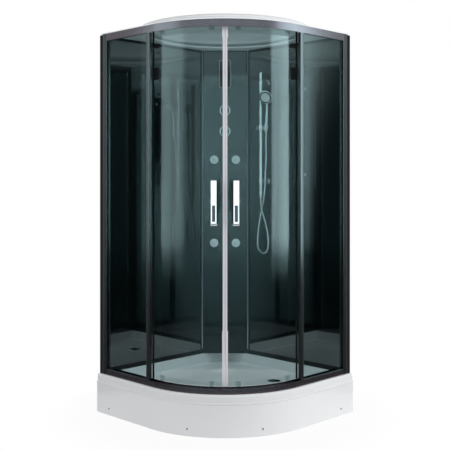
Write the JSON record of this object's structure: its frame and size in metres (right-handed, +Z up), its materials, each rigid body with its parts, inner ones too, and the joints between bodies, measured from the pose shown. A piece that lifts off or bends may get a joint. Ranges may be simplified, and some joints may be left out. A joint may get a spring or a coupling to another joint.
{
  "type": "quadrant shower cabin",
  "caption": "Quarter-round shower cabin: low white tray, curved sliding tinted glass doors, black glass walls, corner panel with body jets and two knobs, hand shower on a rail.",
  "frame": {"origin": "centre of the 1000 x 1000 mm square footprint, on the floor", "axes": "+Z up; the room corner is at (-x, +y), the back walls are the planes x = -0.5 and y = +0.5, and the curved front with the doors faces (+x, -y)"},
  "size_m": [1, 1, 2.15],
  "materials": {
    "white_acrylic": "glossy sanitary acrylic",
    "black_steel": "black screw heads",
    "zinc_steel": "zinc plated",
    "drain_plastic": "moulded pipe",
    "chrome": "polished",
    "frame_paint": "satin dark grey",
    "bright_strip": "bright edge strip",
    "tinted_glass": "grey tinted, clear",
    "clear_seal": "milky clear vinyl",
    "black_frame": "gloss black",
    "black_glass": "black backed, polished",
    "brass": "plain cast brass",
    "jet_grey": "grey nozzle plastic",
    "black_rubber": "black rubber",
    "hanger_steel": "stainless",
    "wheel_nylon": "nylon",
    "hose_silver": "silver vinyl over wound reinforcement",
    "mirror": "silvered glass"
  },
  "bodies": {
    "cabin": {"tray": "white_acrylic", "tray_skirt": "white_acrylic", "roof": "white_acrylic", "skirt_caps": "white_acrylic", "skirt_screws": "black_steel", "tray_frame": "zinc_steel", "tray_feet": "zinc_steel", "drain_trap": "drain_plastic", "water_pipes": "drain_plastic", "shower_rail": "chrome", "rail_brackets": "chrome", "rail_outlet": "chrome", "mirror_caps": "chrome", "jet_rings": "chrome", "bottom_rail": "frame_paint", "top_rail": "frame_paint", "mid_posts": "frame_paint", "wall_posts": "frame_paint", "post_gaskets": "bright_strip", "panel_trims": "bright_strip", "lamp_bezel": "bright_strip", "fixed_glass": "tinted_glass", "glass_seals": "clear_seal", "wall_frames": "black_frame", "wall_glass": "black_glass", "corner_panel": "black_glass", "lamp_lens": "black_glass", "valve_body": "brass", "hose": "hose_silver", "wall_mirror": "mirror"},
    "left_door": {"left_door_glass": "tinted_glass", "left_door_seal": "clear_seal", "left_door_tail": "black_rubber", "left_door_handle": "chrome", "left_door_hangers": "hanger_steel"},
    "right_door": {"right_door_glass": "tinted_glass", "right_door_seal": "clear_seal", "right_door_tail": "black_rubber", "right_door_handle": "chrome", "right_door_hangers": "hanger_steel"},
    "mixer": {"mixer_knob": "chrome"},
    "diverter": {"diverter_knob": "chrome"},
    "drain_cover": {"drain_cover": "chrome"},
    "slider": {"slider": "chrome"},
    "clamp_knob": {"slider_knob": "chrome"},
    "holder": {"handset_holder": "chrome"},
    "handset": {"handset": "chrome"},
    "spray_face": {"handset_face": "jet_grey"},
    "left_wheel_a": {"left_wheel_a": "wheel_nylon"},
    "left_wheel_b": {"left_wheel_b": "wheel_nylon"},
    "right_wheel_a": {"right_wheel_a": "wheel_nylon"},
    "right_wheel_b": {"right_wheel_b": "wheel_nylon"},
    "jet_1": {"jet_1": "jet_grey"},
    "jet_2": {"jet_2": "jet_grey"},
    "jet_3": {"jet_3": "jet_grey"},
    "jet_4": {"jet_4": "jet_grey"},
    "jet_5": {"jet_5": "jet_grey"},
    "jet_6": {"jet_6": "jet_grey"}
  },
  "joints": [
    {"name": "right_door_open", "type": "hinge", "parent": "cabin", "child": "right_door", "pos_m": [-0.28, 0.136, 1.147], "axis": [0, 0, 1], "range_deg": [0, 19.2]},
    {"name": "left_door_open", "type": "hinge", "parent": "cabin", "child": "left_door", "pos_m": [-0.136, 0.28, 1.147], "axis": [0, 0, -1], "range_deg": [0, 19.2]},
    {"name": "right_wheel_a_roll", "type": "hinge", "parent": "right_door", "child": "right_wheel_a", "pos_m": [0.34612, -0.2485, 2.067], "axis": [0.7986, -0.6018, 0], "continuous": true},
    {"name": "right_wheel_b_roll", "type": "hinge", "parent": "right_door", "child": "right_wheel_b", "pos_m": [0.4457, 0.03269, 2.067], "axis": [0.9994, -0.0349, 0], "continuous": true},
    {"name": "left_wheel_a_roll", "type": "hinge", "parent": "left_door", "child": "left_wheel_a", "pos_m": [0.2485, -0.34612, 2.067], "axis": [0.6018, -0.7986, 0], "continuous": true},
    {"name": "left_wheel_b_roll", "type": "hinge", "parent": "left_door", "child": "left_wheel_b", "pos_m": [-0.03269, -0.4457, 2.067], "axis": [0.0349, -0.9994, 0], "continuous": true},
    {"name": "jet_1_tilt", "type": "hinge", "parent": "cabin", "child": "jet_1", "pos_m": [-0.43062, 0.33587, 0.89], "axis": [0.7071, 0.7071, 0], "range_deg": [-12, 12]},
    {"name": "jet_2_tilt", "type": "hinge", "parent": "cabin", "child": "jet_2", "pos_m": [-0.33587, 0.43062, 0.89], "axis": [0.7071, 0.7071, 0], "range_deg": [-12, 12]},
    {"name": "jet_3_tilt", "type": "hinge", "parent": "cabin", "child": "jet_3", "pos_m": [-0.43062, 0.33587, 1.149], "axis": [0.7071, 0.7071, 0], "range_deg": [-12, 12]},
    {"name": "jet_4_tilt", "type": "hinge", "parent": "cabin", "child": "jet_4", "pos_m": [-0.33587, 0.43062, 1.149], "axis": [0.7071, 0.7071, 0], "range_deg": [-12, 12]},
    {"name": "jet_5_tilt", "type": "hinge", "parent": "cabin", "child": "jet_5", "pos_m": [-0.43062, 0.33587, 1.402], "axis": [0.7071, 0.7071, 0], "range_deg": [-12, 12]},
    {"name": "jet_6_tilt", "type": "hinge", "parent": "cabin", "child": "jet_6", "pos_m": [-0.33587, 0.43062, 1.402], "axis": [0.7071, 0.7071, 0], "range_deg": [-12, 12]},
    {"name": "mixer_turn", "type": "hinge", "parent": "cabin", "child": "mixer", "pos_m": [-0.36486, 0.36486, 1.575], "axis": [0.7071, -0.7071, 0], "range_deg": [-60, 60]},
    {"name": "diverter_turn", "type": "hinge", "parent": "cabin", "child": "diverter", "pos_m": [-0.36486, 0.36486, 1.702], "axis": [0.7071, -0.7071, 0], "range_deg": [-90, 90]},
    {"name": "drain_cover_lift", "type": "slide", "parent": "cabin", "child": "drain_cover", "axis": [0, 0, 1], "range_m": [0, 0.08]},
    {"name": "slider_height", "type": "slide", "parent": "cabin", "child": "slider", "axis": [0, 0, 1], "range_m": [-0.28, 0.23], "deforming": ["hose"]},
    {"name": "clamp_turn", "type": "hinge", "parent": "slider", "child": "clamp_knob", "pos_m": [-0.142, 0.419, 1.589], "axis": [-1, 0, 0], "range_deg": [0, 270]},
    {"name": "holder_tilt", "type": "hinge", "parent": "slider", "child": "holder", "pos_m": [-0.072, 0.419, 1.589], "axis": [1, 0, 0], "range_deg": [-10, 20], "deforming": ["hose"]},
    {"name": "handset_lift", "type": "slide", "parent": "holder", "child": "handset", "axis": [0.0698, -0.0299, 0.9971], "range_m": [0, 0.06], "deforming": ["hose"]},
    {"name": "spray_turn", "type": "hinge", "parent": "handset", "child": "spray_face", "pos_m": [-0.04978, 0.38963, 1.76508], "axis": [0.312, -0.8254, -0.4704], "range_deg": [-45, 45]}
  ],
  "couplings": [
    {"joint": "right_wheel_a_roll", "follows": "right_door_open", "ratio": -92.6},
    {"joint": "right_wheel_b_roll", "follows": "right_door_open", "ratio": -92.6},
    {"joint": "left_wheel_a_roll", "follows": "left_door_open", "ratio": 92.6},
    {"joint": "left_wheel_b_roll", "follows": "left_door_open", "ratio": 92.6}
  ]
}
